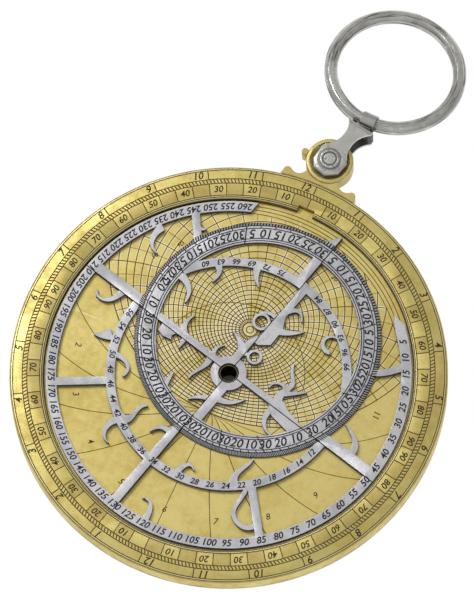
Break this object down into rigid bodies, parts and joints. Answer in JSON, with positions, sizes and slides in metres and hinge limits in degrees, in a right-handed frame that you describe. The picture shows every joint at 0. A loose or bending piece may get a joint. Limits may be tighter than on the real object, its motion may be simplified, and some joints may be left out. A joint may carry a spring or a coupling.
{
  "type": "planispheric astrolabe",
  "caption": "Brass planispheric astrolabe with a pierced silvered rete that turns over engraved plates, a folding-sight alidade on its back, a throne, a shackle and a suspension ring.",
  "frame": {"origin": "on the axis of the centre bore, at the back face of the mater", "axes": "+Z out of the face, along the centre bore; +Y towards the throne and the suspension ring; +X to 3 o'clock seen from the face"},
  "size_m": [0.1, 0.1505, 0.011],
  "materials": {
    "brass": "old rolled brass, satin",
    "limb_brass": "polished brass with engraved scales",
    "plate_brass": "satin brass with fine engraved lines",
    "tube_brass": "dull turned brass",
    "silvered": "silvered and worn, satin"
  },
  "bodies": {
    "mater": {"back_plate": "brass", "limb_ring": "limb_brass", "throne": "limb_brass", "throne_pin_left": "brass", "throne_pin_right": "brass", "tympan_lower": "plate_brass", "tympan_middle": "plate_brass", "tympan_upper": "plate_brass", "centre_tube": "tube_brass", "alidade_washer": "brass"},
    "rete": {"rete": "silvered"},
    "alidade": {"alidade": "brass", "hinge_block_a": "brass", "hinge_block_b": "brass", "hinge_pin_a": "brass", "hinge_pin_b": "brass", "block_rivet_a1": "brass", "block_rivet_a2": "brass", "block_rivet_b1": "brass", "block_rivet_b2": "brass"},
    "sight_a": {"sight_vane_a": "brass"},
    "sight_b": {"sight_vane_b": "brass"},
    "shackle": {"shackle": "silvered", "shackle_rivet": "silvered", "shackle_washer_front": "silvered", "shackle_washer_back": "silvered"},
    "ring": {"suspension_ring": "silvered"}
  },
  "joints": [
    {"name": "rete_turn", "type": "hinge", "parent": "mater", "child": "rete", "pos_m": [0, 0, 0.00415], "axis": [0, 0, 1], "continuous": true},
    {"name": "alidade_turn", "type": "hinge", "parent": "mater", "child": "alidade", "pos_m": [0, 0, -0.0008], "axis": [0, 0, 1], "continuous": true},
    {"name": "sight_a_fold", "type": "hinge", "parent": "alidade", "child": "sight_a", "pos_m": [0.036, 0, -0.00325], "axis": [0, -1, 0], "range_deg": [0, 90]},
    {"name": "sight_b_fold", "type": "hinge", "parent": "alidade", "child": "sight_b", "pos_m": [-0.036, 0, -0.00325], "axis": [0, 1, 0], "range_deg": [0, 90]},
    {"name": "shackle_swing", "type": "hinge", "parent": "mater", "child": "shackle", "pos_m": [0, 0.0563, 0.0025], "axis": [0, 0, 1], "range_deg": [-53.5, 70]},
    {"name": "ring_swing", "type": "hinge", "parent": "shackle", "child": "ring", "pos_m": [0.00389, 0.06944, 0.0025], "axis": [0.9998, -0.0175, 0], "range_deg": [-120, 140]}
  ]
}
